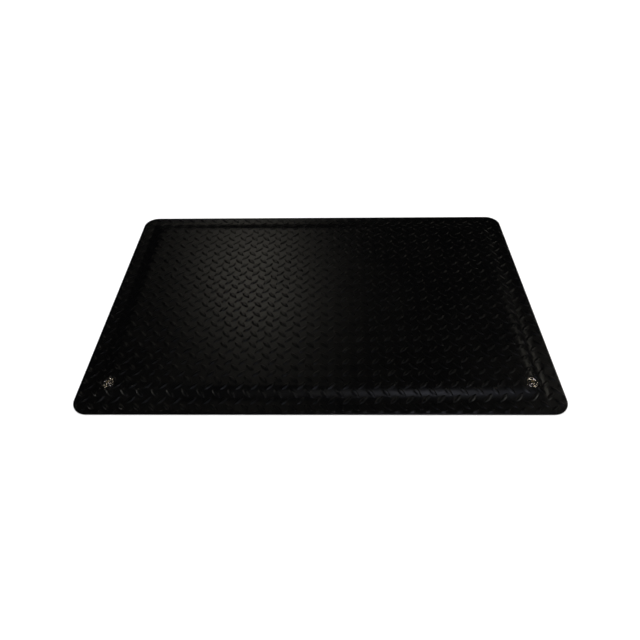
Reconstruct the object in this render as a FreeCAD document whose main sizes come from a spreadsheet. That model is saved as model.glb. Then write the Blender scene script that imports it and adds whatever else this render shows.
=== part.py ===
import FreeCAD, Part

import math
import os
import re

import Sketcher
from FreeCAD import Placement, Rotation, Vector

# Anti-fatigue floor mat with two grounding snaps. A bevelled foam core and a thin conductive film lie between
# an embossed vinyl cover and a flat vinyl backing sheet; cover and backing meet in a flat flange all round. A
# press-stud snap is riveted through the cover at each front corner of the raised area, leaning over it.
#
# Frame: origin at the centre of the underside, +X along the length, +Z up, the snaps towards -Y. Millimetres.

DIMENSIONS = {
    # outline of the whole mat, and the layers from the floor up
    "mat_length": 914.4,
    "mat_depth": 609.6,
    "corner_radius": 31.75,
    "backing_thick": 1.0,
    "cover_thick": 2.2,
    "film_thick": 0.3,
    "top_height": 11.5,
    # bevel between flange and raised area, on the cover's upper side; the snaps sit on its crest
    "flange_width": 31.0,
    "bevel_run": 25.0,
    "foot_radius": 8.0,
    "crest_radius": 6.0,
    "crest_round": 14.0,
    "snap_setback": 66.0,
    # dished seat under each snap: depth below the sharp crest, widths of recess and dished cover, and its
    # lean over the corner, in degrees: how far from upright, and how far from straight outwards to the front
    "seat_depth": 3.0,
    "seat_radius": 12.1,
    "dish_radius": 13.6,
    "snap_tilt": 14.0,
    "snap_turn": 39.0,
    # snap hardware, about the snap's own axis, heights above the seat
    "hole_radius": 2.6,
    "plate": 0.6,
    "cup_radius": 11.1,
    "cup_rim_width": 2.4,
    "cup_rim_height": 1.9,
    "stud_base_radius": 7.4,
    "stud_neck_radius": 4.4,
    "stud_neck_top": 2.0,
    "stud_head_radius": 5.0,
    "stud_head_foot": 2.4,
    "stud_head_top": 4.1,
    "stud_height": 4.8,
    "stud_rim_radius": 4.2,
    "stud_shoulder": 0.4,
    "stud_well_radius": 3.4,
    "barrel_radius": 2.5,
    "barrel_bore": 1.9,
    "roll_radius": 3.1,
    "roll_height": 0.5,
    "rivet_base_radius": 6.4,
    "star_radius": 7.6,
    "star_notch": 1.3,
    "star_notch_width": 1.7,
    "pocket_play": 0.3,
}
STAR_TEETH = 16
SIDES = {"left": -1, "right": 1}

# z of the flange's upper side, and the bevel's slope
FLANGE_TOP = "(backing_thick + cover_thick)"
SLOPE = "atan((top_height - backing_thick - cover_thick) / bevel_run)"
# heights below the seat of the dished film's two sides and of the plates under it
FILM_TOP = "cover_thick"
FILM_UNDER = "(cover_thick + film_thick)"
STAR_UNDER = "(cover_thick + film_thick + plate)"
RIVET_UNDER = "(cover_thick + film_thick + 2 * plate)"

XY, XZ, YZ = "XY_Plane", "XZ_Plane", "YZ_Plane"

doc = FreeCAD.newDocument("anti_fatigue_mat")


# ---- the sheet and its formulas ---------------------------------------------------------------------------
def make_sheet():
    """The spreadsheet of driving dimensions, one aliased cell each."""
    sheet = doc.addObject("Spreadsheet::Sheet", "Dimensions")
    for row, (name, value) in enumerate(DIMENSIONS.items(), start=1):
        sheet.set(f"A{row}", name)
        sheet.set(f"B{row}", str(value))
        sheet.setAlias(f"B{row}", name)
    doc.recompute()
    return sheet


def formula(text):
    """A formula in plain dimension names, as an expression on the sheet."""
    return re.sub(r"[a-z_]+", lambda m: f"Dimensions.{m[0]}" if m[0] in DIMENSIONS else m[0], text)


def value(text):
    """The number a formula gives now, in millimetres or degrees."""
    return float(getattr(sheet.evalExpression(formula(text)), "Value", sheet.evalExpression(formula(text))))


def bind(obj, prop, text):
    """Drives one property of an object by a formula."""
    obj.setExpression(prop, formula(text))


# ---- bodies and sketches ----------------------------------------------------------------------------------
def new_body(name):
    body = doc.addObject("PartDesign::Body", name)
    body.Label = name
    return body


def plane_of(body, role):
    """The body's own origin plane with this role."""
    return next(o for o in body.Origin.OriginFeatures if o.Role == role)


def new_sketch(body, name, role, height="0"):
    """An empty sketch on one of the body's origin planes, or at a height above it."""
    sketch = body.newObject("Sketcher::SketchObject", name)
    sketch.AttachmentSupport = [(plane_of(body, role), "")]
    sketch.MapMode = "FlatFace"
    if height != "0":
        bind(sketch, "AttachmentOffset.Base.z", height)
    return sketch


def dimension(sketch, constraint, text):
    """Adds a sketch constraint driven by a formula."""
    index = sketch.addConstraint(constraint)
    sketch.setExpression(f"Constraints[{index}]", formula(text))


def rounded_rectangle(body, name, z, length, depth, radius):
    """A centred rectangle with rounded corners, at height z."""
    sketch = new_sketch(body, name, XY, z)
    hx, hy, r = value(length) / 2, value(depth) / 2, value(radius)
    corners = [(hx - r, r - hy, -90), (hx - r, hy - r, 0), (r - hx, hy - r, 90), (r - hx, r - hy, 180)]
    for x, y, start in corners:
        a, b = math.radians(start), math.radians(start + 90)
        circle = Part.Circle(Vector(x, y, 0), Vector(0, 0, 1), r)
        sketch.addGeometry(Part.ArcOfCircle(circle, a, b))
    for i in range(4):
        first, second = sketch.Geometry[i], sketch.Geometry[(i + 1) % 4]
        sketch.addGeometry(Part.LineSegment(first.EndPoint, second.StartPoint))
    for i in range(4):
        sketch.addConstraint(Sketcher.Constraint("Tangent", i, 2, 4 + i, 1))
        sketch.addConstraint(Sketcher.Constraint("Tangent", 4 + i, 2, (i + 1) % 4, 1))
    for line, direction in ((4, "Vertical"), (5, "Horizontal"), (6, "Vertical"), (7, "Horizontal")):
        sketch.addConstraint(Sketcher.Constraint(direction, line))
    for i in (1, 2):
        sketch.addConstraint(Sketcher.Constraint("Equal", 0, i))
    sketch.addConstraint(Sketcher.Constraint("Symmetric", 0, 3, 2, 3, -1, 1))
    dimension(sketch, Sketcher.Constraint("Radius", 0, r), radius)
    across = Sketcher.Constraint("DistanceX", 2, 3, 0, 3, 2 * (hx - r))
    along = Sketcher.Constraint("DistanceY", 0, 3, 2, 3, 2 * (hy - r))
    dimension(sketch, across, f"{length} - 2 * ({radius})")
    dimension(sketch, along, f"{depth} - 2 * ({radius})")
    doc.recompute()
    return sketch


def polygon(sketch, points):
    """A closed polygon through points given as pairs of formulas."""
    spots = [Vector(value(x), value(y), 0) for x, y in points]
    count = len(spots)
    for i in range(count):
        sketch.addGeometry(Part.LineSegment(spots[i], spots[(i + 1) % count]))
    for i in range(count):
        sketch.addConstraint(Sketcher.Constraint("Coincident", i, 2, (i + 1) % count, 1))
    for i, (x, y) in enumerate(points):
        for kind, axis, text, at in (("DistanceX", -2, x, spots[i].x), ("DistanceY", -1, y, spots[i].y)):
            if text == "0":
                sketch.addConstraint(Sketcher.Constraint("PointOnObject", i, 1, axis))
            else:
                dimension(sketch, Sketcher.Constraint(kind, -1, 1, i, 1, at), text)
    doc.recompute()


def pad(body, name, sketch, length):
    feature = body.newObject("PartDesign::Pad", name)
    feature.Profile = sketch
    bind(feature, "Length", length)
    doc.recompute()
    return feature


def loft(body, name, lower, upper):
    """A straight-sided loft between two sketches."""
    feature = body.newObject("PartDesign::AdditiveLoft", name)
    feature.Profile = lower
    feature.Sections = [upper]
    feature.Ruled = True
    doc.recompute()
    return feature


def turned(body, name, points):
    """A solid of revolution about the body's Z axis, from points given as (radius, height) formulas."""
    sketch = new_sketch(body, f"{name}_profile", XZ)
    polygon(sketch, points)
    feature = body.newObject("PartDesign::Revolution", name)
    feature.Profile = sketch
    feature.ReferenceAxis = (sketch, ["V_Axis"])
    feature.Angle = 360
    doc.recompute()
    return feature


def round_edges(body, name, chosen, radius):
    """Fillets the body's edges that a test picks out."""
    tip = body.Tip
    edges = [f"Edge{i}" for i, edge in enumerate(tip.Shape.Edges, start=1) if chosen(edge)]
    feature = body.newObject("PartDesign::Fillet", name)
    feature.Base = (tip, edges)
    bind(feature, "Radius", radius)
    doc.recompute()
    return feature


def rim_at(radius, height):
    """A test for the circular edge of a turned body at this radius and height."""
    r, z = value(radius), value(height)

    def chosen(edge):
        circle = isinstance(edge.Curve, Part.Circle)
        return circle and abs(edge.Curve.Radius - r) < 1e-3 and abs(edge.Curve.Center.z - z) < 1e-3

    return chosen


# ---- shapes shared by the layers --------------------------------------------------------------------------
def raised_loft(body, name, skin, bottom):
    """The raised area's envelope, a given depth (skin) inside the cover's upper side, from a given bottom."""
    shift = f"({skin}) * tan({SLOPE} / 2)"
    foot = f"(flange_width + {shift} + ({bottom} - {FLANGE_TOP} + ({skin})) / tan({SLOPE}))"
    crest = f"(flange_width + bevel_run + {shift})"
    spots = ((foot, bottom, "foot_radius"), (crest, f"(top_height - ({skin}))", "crest_radius"))
    sketches = [
        rounded_rectangle(body, f"{name}_{radius[:5]}", z, f"(mat_length - 2 * {inset})",
                          f"(mat_depth - 2 * {inset})", radius)
        for inset, z, radius in spots
    ]
    return loft(body, name, *sketches)


def snap_seat(side):
    """The centre of a snap's seat, as formulas: the sharp crest beside the corner, less the seat's depth."""
    shift = "seat_depth * sin(snap_tilt)"
    x = f"{SIDES[side]} * (mat_length / 2 - flange_width - bevel_run - {shift} * cos(snap_turn))"
    y = f"snap_setback - mat_depth / 2 + {shift} * sin(snap_turn)"
    return x, y, "top_height - seat_depth * cos(snap_tilt)"


def lean_axis(side):
    """The level axis that an upright direction turns about to lean over this side's corner."""
    turn = math.radians(value("snap_turn"))
    return Vector(math.sin(turn), SIDES[side] * math.cos(turn), 0)


def snap_groove(body, name, side, radius, low, high):
    """Cuts a tilted cylinder about one snap's axis, between two heights from its seat."""
    x, y, z = snap_seat(side)
    sketch = new_sketch(body, f"{name}_{side}_profile", XZ)
    axis = lean_axis(side)
    sketch.AttachmentOffset = Placement(Vector(), Rotation(Vector(axis.x, axis.z, -axis.y), 1))
    for path, text in (("Base.x", x), ("Base.y", z), ("Base.z", f"-({y})"), ("Rotation.Angle", "snap_tilt")):
        bind(sketch, f"AttachmentOffset.{path}", text)
    polygon(sketch, [("0", low), (radius, low), (radius, high), ("0", high)])
    before = body.Shape.Volume
    feature = body.newObject("PartDesign::Groove", f"{name}_{side}")
    feature.Profile = sketch
    feature.ReferenceAxis = (sketch, ["V_Axis"])
    feature.Angle = 360
    doc.recompute()
    if not before - body.Shape.Volume > 1.0:
        raise RuntimeError(f"{name}_{side} cuts nothing")


def place_on_snap(obj, side):
    """Puts an object drawn about Z on one snap's seat, leaning over the corner."""
    obj.Placement = Placement(Vector(), Rotation(lean_axis(side), 1))
    for axis, text in zip("xyz", snap_seat(side)):
        bind(obj, f"Placement.Base.{axis}", text)
    bind(obj, "Placement.Rotation.Angle", "snap_tilt")


def less(name, base, tool):
    """One solid minus another."""
    cut = doc.addObject("Part::Cut", name)
    cut.Base, cut.Tool = base, tool
    cut.Label = name
    doc.recompute()
    return cut


# ---- the layers -------------------------------------------------------------------------------------------
def make_bottom_sheet():
    body = new_body("bottom_sheet")
    outline = rounded_rectangle(body, "backing_outline", "0", "mat_length", "mat_depth", "corner_radius")
    pad(body, "backing_pad", outline, "backing_thick")
    return body


def make_cover_blank():
    """The cover's upper side as a solid block: flange, bevel, raised area, and the snaps' seats and holes."""
    body = new_body("cover_blank")
    outline = rounded_rectangle(body, "flange_outline", "backing_thick", "mat_length", "mat_depth",
                                "corner_radius")
    pad(body, "flange", outline, "cover_thick")
    raised_loft(body, "raised", "0", FLANGE_TOP)

    top = value("top_height")
    round_edges(body, "crest_fillet", lambda edge: all(abs(v.Z - top) < 1e-3 for v in edge.Vertexes),
                "crest_round")
    for side in SIDES:
        snap_groove(body, "seat", side, "seat_radius", "0", "2 * top_height")
        snap_groove(body, "rivet_hole", side, "hole_radius", "-top_height", "top_height")
    return body


def make_film_blank():
    """Everything under the cover: its cavity, dished down under each snap."""
    body = new_body("film_blank")
    raised_loft(body, "cavity", "cover_thick", "backing_thick")
    for side in SIDES:
        snap_groove(body, "dish", side, "dish_radius", f"-{FILM_TOP}", "top_height")
    return body


def make_core_blank():
    """Everything under the film, dished down likewise."""
    body = new_body("core_blank")
    raised_loft(body, "core_block", "cover_thick + film_thick", "backing_thick")
    for side in SIDES:
        snap_groove(body, "core_dish", side, "dish_radius + film_thick", f"-{FILM_UNDER}", "top_height")
    return body


def make_layers():
    backing = make_bottom_sheet()
    film_blank, core_blank = make_film_blank(), make_core_blank()
    cover = less("diamond_plate_cover", make_cover_blank(), film_blank)
    film = less("conductive_film", less("film_unpierced", film_blank, core_blank), make_pair("rivet_drill"))
    core = less("foam_core", core_blank, make_pair("clinch_pocket"))
    return [backing, core, film, cover]


def make_pair(name):
    """Two tilted cylinders, one under each snap: the rivet's drill or the pocket for its plates."""
    sizes = {
        "rivet_drill": ("hole_radius", "2 * top_height", f"-{RIVET_UNDER}"),
        "clinch_pocket": ("star_radius + pocket_play", f"{RIVET_UNDER} + pocket_play",
                          f"-({RIVET_UNDER} + pocket_play)"),
    }
    radius, height, low = sizes[name]
    pair = doc.addObject("Part::Fuse", name)
    tools = []
    for side in SIDES:
        tool = new_body(f"{name}_{side}")
        turned(tool, f"{name}_{side}_turned",
               [("0", low), (radius, low), (radius, f"{low} + {height}"), ("0", f"{low} + {height}")])
        place_on_snap(tool, side)
        tools.append(tool)
    pair.Base, pair.Tool = tools
    doc.recompute()
    return pair


# ---- the snap hardware ------------------------------------------------------------------------------------
def make_cup_washer(side):
    """A pressed washer with a rolled, raised rim."""
    body = new_body(f"{side}_cup_washer")
    inner = "(cup_radius - cup_rim_width)"
    turned(body, f"{side}_cup", [
        ("hole_radius", "0"), ("cup_radius", "0"), ("cup_radius", "cup_rim_height"),
        (inner, "cup_rim_height"), (inner, "plate"), ("hole_radius", "plate"),
    ])
    for radius, at in (("cup_radius", "outer"), (inner, "inner")):
        round_edges(body, f"{side}_cup_{at}_round", rim_at(radius, "cup_rim_height"), "cup_rim_width * 0.45")
    place_on_snap(body, side)
    return body


def make_snap_stud(side):
    """The male half of the snap: base flange, waisted neck, bead head and a well for the rivet's end."""
    body = new_body(f"{side}_snap_stud")
    foot = "2 * plate"
    turned(body, f"{side}_stud", [
        ("hole_radius", "plate"), ("stud_base_radius", "plate"), ("stud_base_radius", foot),
        ("stud_neck_radius + plate", foot), ("stud_neck_radius", f"{foot} + plate"),
        ("stud_neck_radius", "stud_neck_top"), ("stud_head_radius", "stud_head_foot"),
        ("stud_head_radius", "stud_head_top"), ("stud_rim_radius", "stud_height"),
        ("stud_well_radius", "stud_height"), ("stud_well_radius", foot), ("hole_radius", foot),
    ])
    round_edges(body, f"{side}_stud_shoulder", rim_at("stud_head_radius", "stud_head_top"), "stud_shoulder")
    place_on_snap(body, side)
    return body


def make_tubular_rivet(side):
    """The rivet: flat head under the star washer, barrel up through the layers, end rolled over."""
    body = new_body(f"{side}_tubular_rivet")
    seat = "2 * plate"
    roll_top = f"{seat} + roll_height"
    turned(body, f"{side}_rivet", [
        ("barrel_bore", f"-{RIVET_UNDER}"), ("rivet_base_radius", f"-{RIVET_UNDER}"),
        ("rivet_base_radius", f"-{STAR_UNDER}"), ("barrel_radius", f"-{STAR_UNDER}"),
        ("barrel_radius", seat), ("roll_radius", seat), ("roll_radius", roll_top), ("barrel_bore", roll_top),
    ])
    round_edges(body, f"{side}_rivet_roll", rim_at("roll_radius", roll_top), "roll_height * 0.8")
    place_on_snap(body, side)
    return body


def make_star_washer(side):
    """The toothed contact washer that bites into the underside of the film."""
    body = new_body(f"{side}_star_washer")
    turned(body, f"{side}_star", [
        ("hole_radius", f"-{STAR_UNDER}"), ("star_radius", f"-{STAR_UNDER}"),
        ("star_radius", f"-{FILM_UNDER}"), ("hole_radius", f"-{FILM_UNDER}"),
    ])
    sketch = new_sketch(body, f"{side}_notch_outline", XY)
    polygon(sketch, [
        ("star_radius - star_notch", "0"), ("star_radius + plate", "-star_notch_width / 2"),
        ("star_radius + plate", "star_notch_width / 2"),
    ])
    before = body.Shape.Volume
    notch = body.newObject("PartDesign::Pocket", f"{side}_notch")
    notch.Profile = sketch
    notch.Type = "ThroughAll"
    notch.Midplane = True
    doc.recompute()
    pattern = body.newObject("PartDesign::PolarPattern", f"{side}_notches")
    pattern.Originals = [notch]
    pattern.Axis = (sketch, ["N_Axis"])
    pattern.Angle = 360
    pattern.Occurrences = STAR_TEETH
    body.Tip = pattern
    doc.recompute()
    if not before - body.Shape.Volume > STAR_TEETH * 0.1:
        raise RuntimeError(f"{side} star washer has no notches")
    place_on_snap(body, side)
    return body


# ---- checks and output ------------------------------------------------------------------------------------
def check_document():
    """Stops if any object failed to compute or has a bad shape."""
    for obj in doc.Objects:
        if {"Invalid", "Error"} & set(obj.State):
            raise RuntimeError(f"{obj.Name} is {obj.State}")
        shape = getattr(obj, "Shape", None)
        solid = obj.isDerivedFrom("PartDesign::Feature") or obj.isDerivedFrom("Part::Boolean")
        if solid and (shape is None or shape.isNull() or not shape.isValid()):
            raise RuntimeError(f"{obj.Name} has no valid shape")


def write_parts(parts):
    """One STEP file for each separate piece, named by its label."""
    os.makedirs("parts", exist_ok=True)
    for part in parts:
        shape = part.Shape
        if shape.isNull() or not shape.isValid() or len(shape.Solids) != 1:
            raise RuntimeError(f"{part.Label} is not one valid solid")
        shape.exportStep(f"parts/{part.Label}.step")
        box = shape.optimalBoundingBox(False)
        print(f"{part.Label}: {shape.Volume:.1f} mm3, z {box.ZMin:.2f} to {box.ZMax:.2f}")


sheet = make_sheet()
pieces = make_layers()
for side_name in SIDES:
    pieces.append(make_cup_washer(side_name))
    pieces.append(make_snap_stud(side_name))
    pieces.append(make_tubular_rivet(side_name))
    pieces.append(make_star_washer(side_name))
doc.recompute()
check_document()
write_parts(pieces)
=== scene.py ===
import math

import bpy
import numpy as np
from mathutils import Matrix, Vector
from mathutils.geometry import delaunay_2d_cdt


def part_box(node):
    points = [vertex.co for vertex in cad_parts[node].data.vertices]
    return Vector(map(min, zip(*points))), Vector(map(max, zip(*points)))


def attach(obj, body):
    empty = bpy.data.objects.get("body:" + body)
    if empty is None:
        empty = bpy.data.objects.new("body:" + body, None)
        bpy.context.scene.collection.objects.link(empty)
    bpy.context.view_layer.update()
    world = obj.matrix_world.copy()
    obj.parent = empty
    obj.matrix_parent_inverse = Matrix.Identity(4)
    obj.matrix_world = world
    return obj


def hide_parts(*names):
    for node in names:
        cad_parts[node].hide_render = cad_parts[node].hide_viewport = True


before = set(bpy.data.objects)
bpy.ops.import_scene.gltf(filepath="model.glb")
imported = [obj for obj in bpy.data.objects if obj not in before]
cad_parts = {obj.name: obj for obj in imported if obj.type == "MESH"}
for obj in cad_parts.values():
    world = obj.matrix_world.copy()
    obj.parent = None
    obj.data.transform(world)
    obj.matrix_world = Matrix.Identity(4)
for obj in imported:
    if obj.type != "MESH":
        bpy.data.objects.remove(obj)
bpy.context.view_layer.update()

# Anti-fatigue floor mat. The mesh code works in millimetres, and mesh_object() turns them into metres.

MM = 0.001

# ---- sizes ------------------------------------------------------------------------------------------------
backing_low, backing_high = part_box("bottom_sheet")
HALF_X, HALF_Y = backing_high.x / MM, backing_high.y / MM
WELD_Z = backing_high.z / MM                 # where cover and backing sheet meet
COVER_THICK, FILM_THICK = 2.2, 0.3
FLANGE_Z = WELD_Z + COVER_THICK
TOP_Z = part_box("diamond_plate_cover")[1].z / MM
CORNER_R = 31.75

BEVEL_OUT, BEVEL_IN = 26.5, 60.5             # where the bevel's curve begins and ends, inside the outline
BEVEL_ROWS = 11                              # rows of points that follow that curve
CORE_EDGE, CORE_CORNER_R = BEVEL_OUT + 9.0, 8.0   # the edge of the foam and of the film
CORE_EDGE_CLEAR = 3.0                        # rows of points keep this far inside it, because of its corners
MITRE_BLEND = 12.0                           # width over which two bevels run into each other
ROLL_WIDTH, ROLL_DROP = 3.5, 0.6             # how the welded edge rolls down at the outline
EDGE_FADE = 6.0                              # the weld flattens the lozenges along the outline
TOP_INSET, UNDER_INSET = 0.7, 0.25           # where the cover's two sides end, inside the outline
OUTLINE_CLEAR = 0.9                          # points of the pattern keep this far inside the outline

# the layers lie this far apart, and each side of a layer stays at least so high over the weld
LAYER_GAP = 0.02
COVER_UNDER_LIFT, FILM_TOP_LIFT, FILM_UNDER_LIFT, CORE_TOP_LIFT = 0.03, 0.3, 0.05, 0.1
RIM_WELD_LIFT = 0.3                          # height of the cover rim's lower end over the weld

# the lozenges' square lattice, and how the sheet was stretched and bowed as it was formed over the core
PITCH = 28.575
LATTICE_X, LATTICE_Y = -4.7, 14.5            # centre of one lozenge that leans to the right
STRETCH_X, STRETCH_Y = 1.0093, 1.0183
SKEW, BOW = 0.0067, 3.4e-5                   # rows rise to the right, and curve up towards both ends
LOZENGE_A, LOZENGE_B = 12.9, 4.8             # half length and half width
LOZENGE_CURVE = (LOZENGE_A**2 + LOZENGE_B**2) / (2.0 * LOZENGE_B)   # radius of its two sides
LOZENGE_FLANK = 3.2                          # width of the slope round it
RELIEF = 1.8                                 # height of its ridge
CROWN = 0.4                                  # share of the relief that is a gentle crown up to the ridge

# the snaps lean over the raised area's front corners
SNAP_IN, SNAP_SETBACK, SEAT_DEPTH = 56.0, 66.0, 3.0
SNAP_TILT, SNAP_TURN = math.radians(14.0), math.radians(39.0)
SEAT_R, SEAT_BLEND_R = 11.6, 16.5
RIVET_HOLE_R = 2.9
POCKET_R, POCKET_DEPTH = 7.9, 4.0            # in the foam, round the rivet's lower end
SIDES = {"left": -1, "right": 1}


def snap_axis(sign):
    """The direction in which a snap points."""
    across = math.sin(SNAP_TILT)
    return Vector((sign * across * math.cos(SNAP_TURN), -across * math.sin(SNAP_TURN), math.cos(SNAP_TILT)))


def snap_seat(sign):
    """The centre of a snap's seat."""
    return Vector((sign * (HALF_X - SNAP_IN), SNAP_SETBACK - HALF_Y, TOP_Z)) - SEAT_DEPTH * snap_axis(sign)


# ---- the cover's height -----------------------------------------------------------------------------------
def smoothstep(t):
    t = np.clip(t, 0.0, 1.0)
    return t * t * (3.0 - 2.0 * t)


def smooth_min(a, b, width):
    h = np.maximum(width - np.abs(a - b), 0.0) / width
    return np.minimum(a, b) - h * h * width / 4.0


def outline_distance(x, y):
    """How far a point lies inside the mat's rounded outline."""
    cx, cy = np.abs(x) - (HALF_X - CORNER_R), np.abs(y) - (HALF_Y - CORNER_R)
    return CORNER_R - np.hypot(np.maximum(cx, 0.0), np.maximum(cy, 0.0)) - np.minimum(np.maximum(cx, cy), 0.0)


def plain_height(x, y):
    """The cover's upper side without its lozenges: flange, bevel, raised area, and a seat for each snap."""
    inset = smooth_min(HALF_X - np.abs(x), HALF_Y - np.abs(y), MITRE_BLEND)
    t = np.clip((inset - BEVEL_OUT) / (BEVEL_IN - BEVEL_OUT), 0.0, 1.0)
    z = FLANGE_Z + (TOP_Z - FLANGE_Z) * np.where(t < 0.5, 2 * t * t, 1 - 2 * (1 - t) ** 2)
    for sign in SIDES.values():
        centre, axis = snap_seat(sign), snap_axis(sign)
        seat = centre.z - (axis.x * (x - centre.x) + axis.y * (y - centre.y)) / axis.z
        t = smoothstep((np.hypot(x - centre.x, y - centre.y) - SEAT_R) / (SEAT_BLEND_R - SEAT_R))
        z = seat * (1.0 - t) + z * t
    return z


def from_lattice(u, v):
    """A point of the flat embossed sheet, on the formed mat."""
    return LATTICE_X + u * STRETCH_X, LATTICE_Y + v * STRETCH_Y + SKEW * u + BOW * u * u


def to_lattice(x, y):
    u = (x - LATTICE_X) / STRETCH_X
    return u, (y - LATTICE_Y - SKEW * u - BOW * u * u) / STRETCH_Y


def lozenge_depth(x, y):
    """How far inside its nearest lozenge's outline a point lies (negative outside)."""
    sheet_u, sheet_v = to_lattice(x, y)
    best = np.full_like(x, -99.0)
    for lean, shift in ((1.0, 0.0), (-1.0, PITCH / 2)):
        u = (sheet_u - shift + PITCH / 2) % PITCH - PITCH / 2
        v = (sheet_v - shift + PITCH / 2) % PITCH - PITCH / 2
        along = (u + lean * v) * math.sqrt(0.5)
        across = np.abs(u - lean * v) * math.sqrt(0.5)
        best = np.maximum(best, LOZENGE_CURVE - np.hypot(along, across + LOZENGE_CURVE - LOZENGE_B))
    return best


def relief(x, y):
    """The lozenges' height over the plain surface: a slope all round and a gentle crown."""
    depth = lozenge_depth(x, y)
    from_ridge = 1.0 - np.clip(depth / LOZENGE_B, 0.0, 1.0)
    return RELIEF * smoothstep(depth / LOZENGE_FLANK) * (1.0 - CROWN * from_ridge**2)


def cover_height(x, y):
    """Height of the cover's upper side with its lozenges, its edge rolled down."""
    inset = outline_distance(x, y)
    bumps = relief(x, y) * smoothstep((inset - 1.0) / EDGE_FADE)
    for sign in SIDES.values():
        centre = snap_seat(sign)
        bumps = bumps * smoothstep((np.hypot(x - centre.x, y - centre.y) - SEAT_R - 0.5) / 3.0)
    roll = np.clip(1.0 - inset / ROLL_WIDTH, 0.0, 1.0)
    return plain_height(x, y) + bumps - ROLL_DROP * roll * roll


def depth_under_cover(depth, gap):
    """A height function: a given depth under the cover's plain upper side, but a gap above the weld."""
    return lambda x, y: np.maximum(plain_height(x, y) - depth, WELD_Z + gap)


def core_height(x, y):
    """The foam's upper side, with a pocket round the lower end of each rivet."""
    z = depth_under_cover(COVER_THICK + FILM_THICK + LAYER_GAP, CORE_TOP_LIFT)(x, y)
    for sign in SIDES.values():
        centre, axis = snap_seat(sign), snap_axis(sign)
        r = np.hypot(x - centre.x + axis.x * POCKET_DEPTH, y - centre.y + axis.y * POCKET_DEPTH)
        z = np.where(r < POCKET_R + 0.2, plain_height(x, y) - POCKET_DEPTH, z)
    return z


def surface_normals(height, x, y):
    """A height function's unit normals, from differences over a short step."""
    step = 0.03
    dx = (height(x + step, y) - height(x - step, y)) / (2 * step)
    dy = (height(x, y + step) - height(x, y - step)) / (2 * step)
    n = np.stack([-dx, -dy, np.ones_like(dx)], axis=1)
    return n / np.linalg.norm(n, axis=1, keepdims=True)


# ---- mesh helpers -----------------------------------------------------------------------------------------
def outline(inset, spacing=2.5):
    """Points round the rounded rectangle, anticlockwise, the same count for every inset."""
    corner_count = max(6, round(CORNER_R * math.pi / 2 / spacing))
    side = {0: round((HALF_Y - CORNER_R) * 2 / spacing), 1: round((HALF_X - CORNER_R) * 2 / spacing)}
    centres = [(1, -1), (1, 1), (-1, 1), (-1, -1)]
    points = []
    for k, (cx, cy) in enumerate(centres):
        ox, oy = cx * (HALF_X - CORNER_R), cy * (HALF_Y - CORNER_R)
        start = -math.pi / 2 + k * math.pi / 2
        for i in range(corner_count):
            a = start + math.pi / 2 * i / corner_count
            points.append((ox + (CORNER_R - inset) * math.cos(a), oy + (CORNER_R - inset) * math.sin(a)))
        nx, ny = centres[(k + 1) % 4]
        a = start + math.pi / 2
        p = (ox + (CORNER_R - inset) * math.cos(a), oy + (CORNER_R - inset) * math.sin(a))
        q = (nx * (HALF_X - CORNER_R) + (CORNER_R - inset) * math.cos(a),
             ny * (HALF_Y - CORNER_R) + (CORNER_R - inset) * math.sin(a))
        count = side[k % 2]
        points += [(p[0] + (q[0] - p[0]) * i / count, p[1] + (q[1] - p[1]) * i / count) for i in range(count)]
    return points


def circle(centre, radius, count):
    turns = [2 * math.pi * k / count for k in range(count)]
    return [(centre.x + radius * math.cos(a), centre.y + radius * math.sin(a)) for a in turns]


class Plan:
    """Points and edges in plan, to be triangulated inside a boundary and outside its holes."""

    def __init__(self, boundary):
        self.points, self.edges, self.loops, self.holes = [], [], [], []
        self.add_loop(boundary)

    def add_loop(self, points):
        first, count = len(self.points), len(points)
        self.points += points
        self.edges += [(first + i, first + (i + 1) % count) for i in range(count)]
        self.loops.append(range(first, first + count))

    def add_hole(self, centre, radius, count=24):
        self.add_loop(circle(centre, radius, count))
        self.holes.append((centre, radius))

    def add(self, points, closed=True):
        """Adds a chain of points joined by edges, leaving out what lies near or beyond the outline."""
        array = np.array(points)
        keep = outline_distance(array[:, 0], array[:, 1]) > OUTLINE_CLEAR
        index = np.cumsum(keep) - 1 + len(self.points)
        self.points += [tuple(p) for p in array[keep]]
        count = len(array)
        for i in range(count if closed else count - 1):
            j = (i + 1) % count
            if keep[i] and keep[j]:
                self.edges.append((int(index[i]), int(index[j])))

    def add_frames(self, insets, spacing):
        """Adds rectangles at these insets, with points about every spacing."""
        for inset in insets:
            x, y = HALF_X - inset, HALF_Y - inset
            corners = [(x, -y), (x, y), (-x, y), (-x, -y)]
            for (ax, ay), (bx, by) in zip(corners, corners[1:] + corners[:1]):
                count = round(math.hypot(bx - ax, by - ay) / spacing)
                self.add([(ax + (bx - ax) * i / count, ay + (by - ay) * i / count) for i in range(count + 1)],
                         False)

    def add_seats(self, radii, count):
        """Adds circles of these radii round each snap."""
        for sign in SIDES.values():
            for r in radii:
                self.add(circle(snap_seat(sign), r, count))

    def triangulate(self):
        """The triangulation's points, its faces, and each loop's points in order."""
        verts, _, faces, origins, _, _ = delaunay_2d_cdt(
            [Vector(p) for p in self.points], self.edges, [], 0, 1e-4)
        where = {old: new for new, olds in enumerate(origins) for old in olds}
        flat = np.array([tuple(v) for v in verts])
        boundary = np.array([flat[where[i]] for i in self.loops[0]])
        limit = np.abs(boundary).max(axis=0) + 0.001
        kept = []
        for face in faces:
            middle = flat[list(face)].mean(axis=0)
            in_hole = any(math.hypot(middle[0] - c.x, middle[1] - c.y) < r * 0.99 for c, r in self.holes)
            if not in_hole and (abs(middle) < limit).all():
                kept.append(tuple(face))
        return flat, kept, [[where[i] for i in loop] for loop in self.loops]


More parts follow.
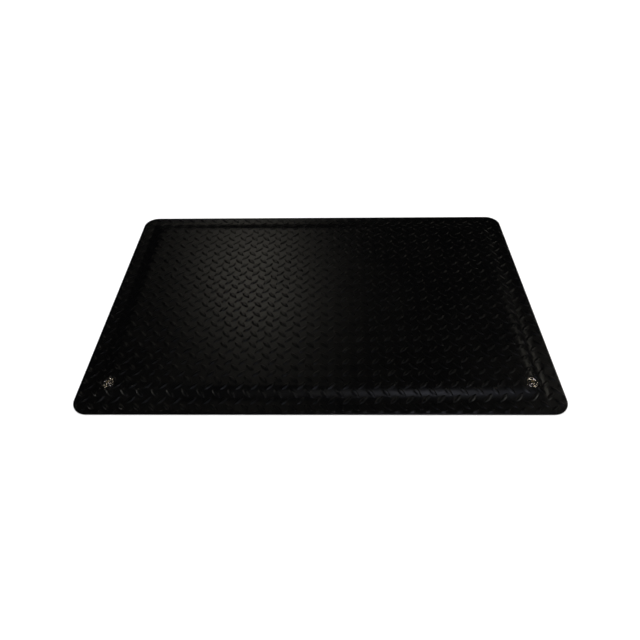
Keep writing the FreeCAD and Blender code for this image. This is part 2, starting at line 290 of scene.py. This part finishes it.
class Solid:
    """A closed mesh put together from height surfaces and the walls between their edges."""

    def __init__(self):
        self.verts, self.normals, self.faces, self.total = [], [], [], 0

    def add_points(self, points, normals):
        self.verts.append(points)
        self.normals.append(normals)
        first = self.total
        self.total += len(points)
        return first

    def add_surface(self, plan, height, up=True):
        """Adds a plan raised to a height function, and returns its loops."""
        flat, faces, loops = plan.triangulate()
        x, y = flat[:, 0], flat[:, 1]
        normals = surface_normals(height, x, y) * (1 if up else -1)
        first = self.add_points(np.column_stack([flat, height(x, y)]), normals)
        self.faces += [tuple(first + i for i in (face if up else reversed(face))) for face in faces]
        return [[first + i for i in loop] for loop in loops]

    def add_wall(self, upper, lower, inward=False):
        """Joins two loops of equal count; inward for a hole's wall."""
        count = len(upper)
        for i in range(count):
            j = (i + 1) % count
            face = (upper[i], lower[i], lower[j], upper[j])
            self.faces.append(face[::-1] if inward else face)

    def close(self, upper_loops, lower_loops):
        """Joins two surfaces all round and down every hole."""
        for k, (upper, lower) in enumerate(zip(upper_loops, lower_loops)):
            self.add_wall(upper, lower, inward=k > 0)

    def finish(self, name, smooth_normals=False):
        verts, normals = np.concatenate(self.verts), np.concatenate(self.normals)
        obj = mesh_object(name, verts, self.faces, normals if smooth_normals else None)
        return obj, verts, normals


def mesh_object(name, verts, faces, normals=None):
    """An object from millimetre vertices, smooth shaded."""
    mesh = bpy.data.meshes.new(name)
    mesh.from_pydata((np.asarray(verts) * MM).tolist(), [], faces)
    mesh.validate()
    mesh.shade_smooth()
    if normals is not None:
        mesh.normals_split_custom_set_from_vertices(normals)
    obj = bpy.data.objects.new(name, mesh)
    bpy.context.scene.collection.objects.link(obj)
    return obj


# ---- the cover --------------------------------------------------------------------------------------------
def lozenge_rings():
    """Closed chains of points round each lozenge, from its foot to its top."""
    rings = []
    for depth, count in ((0.0, 9), (LOZENGE_FLANK * 0.5, 8), (LOZENGE_FLANK, 7)):
        half_width = LOZENGE_B - depth
        radius = LOZENGE_CURVE - depth
        half_length = math.sqrt(radius**2 - (radius - half_width) ** 2)
        reach = math.asin(half_length / radius)
        angles = [reach * (2 * i / count - 1) for i in range(count)]
        arc = [(radius * math.sin(a), radius * math.cos(a) - radius + half_width) for a in angles]
        rings.append(arc + [(-s, -w) for s, w in arc])
    return rings


def lozenge_centres():
    """Every lozenge's centre on the flat sheet, and its lean."""
    reach = int(HALF_X / PITCH) + 2
    for lean, shift in ((1.0, 0.0), (-1.0, PITCH / 2)):
        for i in range(-reach, reach + 1):
            for j in range(-reach, reach + 1):
                yield shift + i * PITCH, shift + j * PITCH, lean


def cover_plan():
    """The plan of the cover's upper side, with points round every lozenge."""
    plan = Plan(outline(TOP_INSET))
    rings = lozenge_rings()
    c = math.sqrt(0.5)
    for u, v, lean in lozenge_centres():
        for ring in rings:
            plan.add([from_lattice(u + (s - lean * w) * c, v + (lean * s + w) * c) for s, w in ring])
    plan.add_frames(np.linspace(BEVEL_OUT, BEVEL_IN, BEVEL_ROWS), 6.0)
    plan.add_frames((1.6, 2.6, ROLL_WIDTH), 6.0)
    plan.add_seats((5.0, 9.0), 48)
    plan.add_seats((11.6, 12.3, 13.0, 13.7, 14.4, 15.1, 15.8, 16.6), 120)
    for sign in SIDES.values():
        plan.add_hole(snap_seat(sign), RIVET_HOLE_R)
    return plan


def layer_plan(boundary, edge=0.0, holes=True):
    """The plan of a layer without lozenges, whose edge lies at an inset from the outline."""
    plan = Plan(boundary)
    rows = np.linspace(BEVEL_OUT, BEVEL_IN, BEVEL_ROWS)
    plan.add_frames([inset for inset in rows if inset > edge + CORE_EDGE_CLEAR], 30.0)
    plan.add_seats((7.7, 8.3, 11.6, 13.2, 14.8, 16.6), 24)
    for sign in SIDES.values():
        if holes:
            plan.add_hole(snap_seat(sign), RIVET_HOLE_R)
    return plan


def make_cover():
    solid = Solid()
    top_loops = solid.add_surface(cover_plan(), cover_height)
    underside = depth_under_cover(COVER_THICK, COVER_UNDER_LIFT)
    under_loops = solid.add_surface(layer_plan(outline(UNDER_INSET)), underside, up=False)

    # the rounded rim, down to the weld: each ring's inset, its height and how far its normal leans outwards
    outward = np.array(outline(0.0)) - np.array(outline(10.0))
    outward /= np.linalg.norm(outward, axis=1, keepdims=True)
    ring = top_loops[0]
    rim_top = solid.verts[0][ring, 2]
    rim_end = np.full_like(rim_top, WELD_Z + RIM_WELD_LIFT)
    for inset, level, lean in ((0.2, rim_top - 0.22, 0.7), (0.0, rim_top - 0.75, 1.0), (0.0, rim_end, 1.0)):
        points = np.column_stack([outline(inset), level])
        up = np.full(len(ring), math.sqrt(1 - lean * lean))
        first = solid.add_points(points, np.column_stack([outward * lean, up]))
        lower = list(range(first, first + len(ring)))
        solid.add_wall(ring, lower)
        ring = lower
    solid.close([ring] + top_loops[1:], under_loops)
    cover, verts, normals = solid.finish("embossed_cover", smooth_normals=True)
    raised = np.where(normals[:, 2] > 0.2, relief(verts[:, 0], verts[:, 1]) / RELIEF, 0.0)
    layer = cover.data.attributes.new("raised", "FLOAT", "POINT")
    layer.data.foreach_set("value", raised.astype(np.float32))
    return cover


# ---- the layers under the cover ---------------------------------------------------------------------------
def rectangle(inset, radius):
    """A rounded rectangle of points at an inset from the outline."""
    x, y = HALF_X - inset - radius, HALF_Y - inset - radius
    points = []
    for cx, cy, start in ((x, -y, -90), (x, y, 0), (-x, y, 90), (-x, -y, 180)):
        for i in range(7):
            a = math.radians(start + 15 * i)
            points.append((cx + radius * math.cos(a), cy + radius * math.sin(a)))
    return points


def make_film():
    """The thin film, pressed down with the cover into each seat."""
    solid = Solid()
    plan = layer_plan(rectangle(CORE_EDGE, CORE_CORNER_R), CORE_EDGE)
    upper = solid.add_surface(plan, depth_under_cover(COVER_THICK + LAYER_GAP, FILM_TOP_LIFT))
    underside = depth_under_cover(COVER_THICK + FILM_THICK, FILM_UNDER_LIFT)
    lower = solid.add_surface(plan, underside, up=False)
    solid.close(upper, lower)
    film = solid.finish("pressed_film")[0]
    sharpen(film, 40)
    return film


def make_core():
    """The bevelled foam core, from the film down to the backing sheet."""
    solid = Solid()
    boundary = rectangle(CORE_EDGE, CORE_CORNER_R)
    upper = solid.add_surface(layer_plan(boundary, CORE_EDGE, holes=False), core_height)
    first = solid.add_points(np.array([(x, y, WELD_Z + LAYER_GAP) for x, y in boundary]),
                             np.tile([0.0, 0.0, -1.0], (len(boundary), 1)))
    lower = list(range(first, first + len(boundary)))
    solid.close(upper, [lower])
    solid.faces.append(tuple(reversed(lower)))
    core = solid.finish("bevelled_foam")[0]
    sharpen(core, 40)
    return core


# the backing sheet's slightly rounded edge from below, as (inset, height)
BACKING_EDGE = ((0.8, 0.0), (0.25, 0.12), (0.0, 0.45), (0.0, 0.7), (0.3, WELD_Z - 0.03))


def make_backing():
    verts, faces = [], []
    for inset, level in BACKING_EDGE:
        verts += [(x, y, level) for x, y in outline(inset, 4.0)]
    count = len(verts) // len(BACKING_EDGE)
    top = len(verts) - count
    for low in range(0, top, count):
        faces += [(low + i, low + (i + 1) % count, low + count + (i + 1) % count, low + count + i)
                  for i in range(count)]
    faces += [tuple(range(count))[::-1], tuple(range(top, len(verts)))]
    backing = mesh_object("backing_sheet", verts, faces)
    sharpen(backing, 60)
    return backing


def sharpen(obj, degrees):
    """Keeps edges sharper than this angle crisp."""
    obj.data.set_sharp_from_angle(angle=math.radians(degrees))


# ---- snap hardware ----------------------------------------------------------------------------------------
# closed profiles of (radius, height over the seat)
CUP_PROFILE = [
    (2.6, 0.0), (10.3, 0.0), (10.95, 0.15), (11.1, 0.65), (10.95, 1.3), (10.55, 1.75), (10.0, 1.92),
    (9.4, 1.8), (8.85, 1.35), (8.4, 0.85), (7.9, 0.64), (7.4, 0.6), (2.6, 0.6),
]
STUD_PROFILE = [
    (2.6, 0.6), (7.1, 0.6), (7.4, 0.75), (7.4, 1.0), (7.15, 1.18), (6.3, 1.2), (5.3, 1.24), (4.7, 1.45),
    (4.4, 1.8), (4.42, 2.05), (4.75, 2.3), (5.0, 2.65), (5.0, 3.6), (4.9, 4.1), (4.6, 4.55), (4.15, 4.78),
    (3.7, 4.75), (3.45, 4.5), (3.38, 4.1), (3.36, 1.7), (3.2, 1.3), (2.6, 1.2),
]
RIVET_PROFILE = [
    (1.9, -3.7), (6.2, -3.7), (6.4, -3.55), (6.4, -3.25), (6.2, -3.1), (2.7, -3.1), (2.5, -2.9), (2.5, 1.05),
    (2.65, 1.2), (3.0, 1.22), (3.12, 1.45), (2.95, 1.66), (2.6, 1.72), (2.2, 1.6), (1.95, 1.3), (1.9, 1.0),
]


def turned(name, profile, sign, steps=72):
    """A profile turned about a snap's axis."""
    count = len(profile)
    verts, faces = [], []
    for k in range(steps):
        a = 2 * math.pi * k / steps
        verts += [(r * math.cos(a), r * math.sin(a), w) for r, w in profile]
        here, there = k * count, (k + 1) % steps * count
        faces += [(here + i, there + i, there + (i + 1) % count, here + (i + 1) % count)
                  for i in range(count)]
    lean = Vector((0, 0, 1)).rotation_difference(snap_axis(sign)).to_matrix().to_4x4()
    place = Matrix.Translation(snap_seat(sign)) @ lean
    obj = mesh_object(name, [tuple(place @ Vector(v)) for v in verts], faces)
    sharpen(obj, 50)
    return obj


# ---- materials --------------------------------------------------------------------------------------------
class Nodes:
    """A small helper for building a node material."""

    def __init__(self, name):
        self.material = bpy.data.materials.new(name)
        self.material.use_nodes = True
        self.tree = self.material.node_tree
        self.shader = self.tree.nodes["Principled BSDF"]
        self.place = self.add("ShaderNodeTexCoord").outputs["Object"]

    def add(self, kind, **settings):
        node = self.tree.nodes.new(kind)
        for key, setting in settings.items():
            setattr(node, key, setting)
        return node

    def link(self, source, target):
        self.tree.links.new(source, target)

    def noise(self, scale, detail=3.0, roughness=0.55, stretch=(1, 1, 1)):
        """Noise in object space; scale counts features per metre."""
        mapping = self.add("ShaderNodeMapping")
        mapping.inputs["Scale"].default_value = stretch
        self.link(self.place, mapping.inputs["Vector"])
        node = self.add("ShaderNodeTexNoise")
        self.link(mapping.outputs["Vector"], node.inputs["Vector"])
        node.inputs["Scale"].default_value = scale
        node.inputs["Detail"].default_value = detail
        node.inputs["Roughness"].default_value = roughness
        return node.outputs["Fac"]

    def cells(self, scale):
        node = self.add("ShaderNodeTexVoronoi")
        self.link(self.place, node.inputs["Vector"])
        node.inputs["Scale"].default_value = scale
        return node.outputs["Distance"]

    def ramp(self, source, stops):
        """A colour ramp from (position, grey or colour) stops."""
        node = self.add("ShaderNodeValToRGB")
        ramp = node.color_ramp
        while len(ramp.elements) < len(stops):
            ramp.elements.new(0.5)
        for element, (at, colour) in zip(ramp.elements, stops):
            element.position = at
            rgb = (colour,) * 3 if isinstance(colour, float) else colour
            element.color = (*rgb, 1.0)
        self.link(source, node.inputs["Fac"])
        return node.outputs["Color"]

    def math(self, kind, a, b):
        node = self.add("ShaderNodeMath", operation=kind)
        for slot, source in zip(node.inputs, (a, b)):
            if isinstance(source, float):
                slot.default_value = source
            else:
                self.link(source, slot)
        return node.outputs["Value"]

    def spread(self, source, low, high, from_low=0.3, from_high=0.7):
        """Rescales a 0 to 1 pattern to a range."""
        node = self.add("ShaderNodeMapRange")
        self.link(source, node.inputs["Value"])
        limits = {"From Min": from_low, "From Max": from_high, "To Min": low, "To Max": high}
        for key, limit in limits.items():
            node.inputs[key].default_value = limit
        return node.outputs["Result"]

    def bump(self, height, strength, distance):
        """Adds a bump on top of any before it; distance in metres."""
        node = self.add("ShaderNodeBump")
        node.inputs["Strength"].default_value = strength
        node.inputs["Distance"].default_value = distance
        self.link(height, node.inputs["Height"])
        normal = self.shader.inputs["Normal"]
        if normal.is_linked:
            self.link(normal.links[0].from_socket, node.inputs["Normal"])
        self.link(node.outputs["Normal"], normal)


def cover_vinyl():
    """Black vinyl: satin, with a fine grain, and lozenges polished a little along their tops."""
    n = Nodes("black_embossed_vinyl")
    n.shader.inputs["Specular IOR Level"].default_value = 0.5
    raised = n.add("ShaderNodeAttribute", attribute_name="raised").outputs["Fac"]
    cloud = n.noise(9.0, 4.0)
    tint = n.ramp(cloud, [(0.3, (0.0003, 0.0003, 0.0004)), (0.7, (0.0006, 0.0006, 0.0006))])
    n.link(tint, n.shader.inputs["Base Color"])
    rough = n.math("ADD", n.spread(cloud, 0.31, 0.35), n.spread(n.noise(420.0, 2.0), -0.03, 0.03))
    rough = n.math("SUBTRACT", rough, n.math("MULTIPLY", raised, 0.02))
    n.link(rough, n.shader.inputs["Roughness"])
    n.bump(n.noise(1500.0, 3.0, 0.6), 0.25, 0.00012)
    n.bump(n.noise(260.0, 2.0), 0.18, 0.0004)
    return n.material


def backing_vinyl():
    n = Nodes("black_backing_vinyl")
    cloud = n.noise(14.0, 4.0)
    n.link(n.ramp(cloud, [(0.3, (0.010, 0.010, 0.011)), (0.7, (0.018, 0.018, 0.018))]),
           n.shader.inputs["Base Color"])
    n.link(n.spread(cloud, 0.55, 0.7), n.shader.inputs["Roughness"])
    n.bump(n.cells(520.0), 0.5, 0.0003)
    return n.material


def foam():
    n = Nodes("closed_cell_foam")
    cells = n.cells(900.0)
    n.link(n.ramp(cells, [(0.0, (0.02, 0.02, 0.021)), (0.6, (0.06, 0.06, 0.062))]),
           n.shader.inputs["Base Color"])
    n.link(n.spread(n.noise(40.0), 0.85, 0.95), n.shader.inputs["Roughness"])
    n.bump(cells, 0.8, 0.0004)
    return n.material


def carbon_film():
    n = Nodes("carbon_film")
    n.link(n.ramp(n.noise(60.0), [(0.3, (0.008, 0.008, 0.008)), (0.7, (0.016, 0.016, 0.017))]),
           n.shader.inputs["Base Color"])
    n.link(n.spread(n.noise(300.0), 0.5, 0.65), n.shader.inputs["Roughness"])
    return n.material


def metal(name, low, high, rough_low, rough_high, scratch):
    """Bare or plated metal with blotchy colour, fine scratches and dulled patches."""
    n = Nodes(name)
    n.shader.inputs["Metallic"].default_value = 1.0
    cloud = n.noise(320.0, 5.0)
    n.link(n.ramp(cloud, [(0.32, low), (0.68, high)]), n.shader.inputs["Base Color"])
    n.link(n.spread(n.noise(700.0, 4.0), rough_low, rough_high), n.shader.inputs["Roughness"])
    n.bump(n.noise(900.0, 2.0, stretch=(1.0, 7.0, 1.0)), scratch, 0.00006)
    return n.material


def dress(obj, material):
    """Puts one material on an object's every slot."""
    if not obj.material_slots:
        obj.data.materials.append(material)
    for slot in obj.material_slots:
        slot.material = material


# ---- the floor, the lights and the camera -----------------------------------------------------------------
FLOOR_SIZE, FLOOR_Z = 10.0, -0.0005          # metres, as are the places and sizes of lights and camera


def make_floor():
    bpy.ops.mesh.primitive_plane_add(size=FLOOR_SIZE, location=(0, 0, FLOOR_Z))
    floor = bpy.context.object
    floor.name = "studio_floor"
    n = Nodes("pale_floor")
    n.link(n.ramp(n.noise(2.0), [(0.2, (0.94, 0.94, 0.94)), (0.8, (0.96, 0.96, 0.96))]),
           n.shader.inputs["Base Color"])
    n.shader.inputs["Roughness"].default_value = 0.9
    n.shader.inputs["Specular IOR Level"].default_value = 0.0
    dress(floor, n.material)
    floor.visible_glossy = False


def area_light(name, place, target, shape, size, power, colour=(1, 1, 1)):
    data = bpy.data.lights.new(name, "AREA")
    data.shape = shape
    data.size, data.size_y = size
    data.energy = power
    data.color = colour
    light = bpy.data.objects.new(name, data)
    light.location = place
    light.rotation_euler = (Vector(target) - Vector(place)).to_track_quat("-Z", "Y").to_euler()
    bpy.context.scene.collection.objects.link(light)
    return light


LAMP_DISTANCE = 2.5                          # from the mat's middle
WARM, NEUTRAL, COOL = (1.0, 0.95, 0.82), (1.0, 0.98, 0.92), (0.82, 0.84, 1.0)
# each lamp's height angle, bearing from the back edge towards the right, watts, width and colour
LAMPS = {
    "back_sheen": (40, -15, 1.5, 0.6, WARM),
    "right_bevel": (35, 60, 1.2, 0.4, WARM),
    "right_side": (20, 110, 3.5, 0.4, NEUTRAL),
    "left_side": (20, -110, 3.0, 0.4, NEUTRAL),
    "front_bevel": (65, 140, 2.0, 0.4, COOL),
    "front_fill": (35, 170, 4.0, 0.6, COOL),
    "snap_glint": (75, 180, 0.3, 0.07, WARM),
    "left_glint": (60, -75, 0.2, 0.06, WARM),
    "right_glint": (60, 75, 0.2, 0.06, WARM),
}


OVERHEAD_Z, OVERHEAD_SIZE, OVERHEAD_WATTS = 5.0, 18.0, 1480.0


def make_world():
    """A faint ambient light, with a white backdrop behind the floor where the camera sees past it."""
    world = bpy.data.worlds.new("studio")
    world.use_nodes = True
    nodes, links = world.node_tree.nodes, world.node_tree.links
    ambient = nodes["Background"]
    ambient.inputs["Color"].default_value = (0.9, 0.95, 1.0, 1.0)
    ambient.inputs["Strength"].default_value = 0.006
    backdrop = nodes.new("ShaderNodeBackground")
    backdrop.inputs["Color"].default_value = (1.0, 1.0, 1.0, 1.0)
    backdrop.inputs["Strength"].default_value = 1.0
    rays = nodes.new("ShaderNodeLightPath")
    choice = nodes.new("ShaderNodeMixShader")
    links.new(rays.outputs["Is Camera Ray"], choice.inputs["Fac"])
    links.new(ambient.outputs["Background"], choice.inputs[1])
    links.new(backdrop.outputs["Background"], choice.inputs[2])
    links.new(choice.outputs["Shader"], nodes["World Output"].inputs["Surface"])
    bpy.context.scene.world = world


def make_lights():
    """One wide soft light for the floor, and a few weak lamps whose sheen shows the cover's shape."""
    overhead = area_light("overhead", (0.0, 0.0, OVERHEAD_Z), (0, 0, 0), "RECTANGLE",
                          (OVERHEAD_SIZE, OVERHEAD_SIZE), OVERHEAD_WATTS)
    overhead.visible_glossy = False
    for name, (up, bearing, watts, width, colour) in LAMPS.items():
        e, a = math.radians(up), math.radians(bearing)
        place = LAMP_DISTANCE * Vector((math.cos(e) * math.sin(a), math.cos(e) * math.cos(a), math.sin(e)))
        area_light(name, place, (0, 0, 0), "DISK", (width, width), watts, colour)


CAMERA_PLACE = (0.0192, -0.8416, 0.8040)
CAMERA_DOWN, CAMERA_YAW, CAMERA_ROLL = 45.99, -1.38, -1.13   # degrees
CAMERA_LENS, SENSOR_WIDTH = 29.48, 36.0      # millimetres


def make_camera():
    data = bpy.data.cameras.new("camera")
    data.sensor_width = SENSOR_WIDTH
    data.lens = CAMERA_LENS
    camera = bpy.data.objects.new("camera", data)
    turn = (Matrix.Rotation(math.radians(-CAMERA_YAW), 4, "Z")
            @ Matrix.Rotation(math.radians(90.0 - CAMERA_DOWN), 4, "X")
            @ Matrix.Rotation(math.radians(CAMERA_ROLL), 4, "Z"))
    camera.matrix_world = Matrix.Translation(CAMERA_PLACE) @ turn
    bpy.context.scene.collection.objects.link(camera)
    bpy.context.scene.camera = camera


def main():
    bpy.context.scene.view_settings.view_transform = "Standard"
    make_camera()
    make_floor()
    make_world()
    make_lights()

    cover = make_cover()
    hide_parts("diamond_plate_cover")
    dress(cover, cover_vinyl())

    backing = make_backing()
    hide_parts("bottom_sheet")
    dress(backing, backing_vinyl())

    core = make_core()
    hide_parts("foam_core")
    dress(core, foam())
    film = make_film()
    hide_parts("conductive_film")
    dress(film, carbon_film())
    for piece in (cover, backing, core, film):
        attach(piece, "root")

    nickel = metal("worn_nickel_plate", (0.66, 0.58, 0.49), (0.88, 0.82, 0.74), 0.1, 0.2, 0.3)
    brass = metal("plain_brass", (0.55, 0.41, 0.2), (0.76, 0.62, 0.36), 0.2, 0.35, 0.3)
    steel = metal("zinc_plated_steel", (0.4, 0.4, 0.42), (0.6, 0.6, 0.6), 0.3, 0.45, 0.2)
    hardware = (
        ("cup_washer", CUP_PROFILE, nickel, "nickel_plate"),
        ("snap_stud", STUD_PROFILE, nickel, "nickel_plate"),
        ("tubular_rivet", RIVET_PROFILE, brass, "rivet_brass"),
    )
    for side, sign in SIDES.items():
        for node, profile, material, finish in hardware:
            piece = turned(f"{side}_turned_{node}", profile, sign)
            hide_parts(f"{side}_{node}")
            dress(piece, material)
            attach(piece, "root")
        dress(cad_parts[f"{side}_star_washer"], steel)


main()
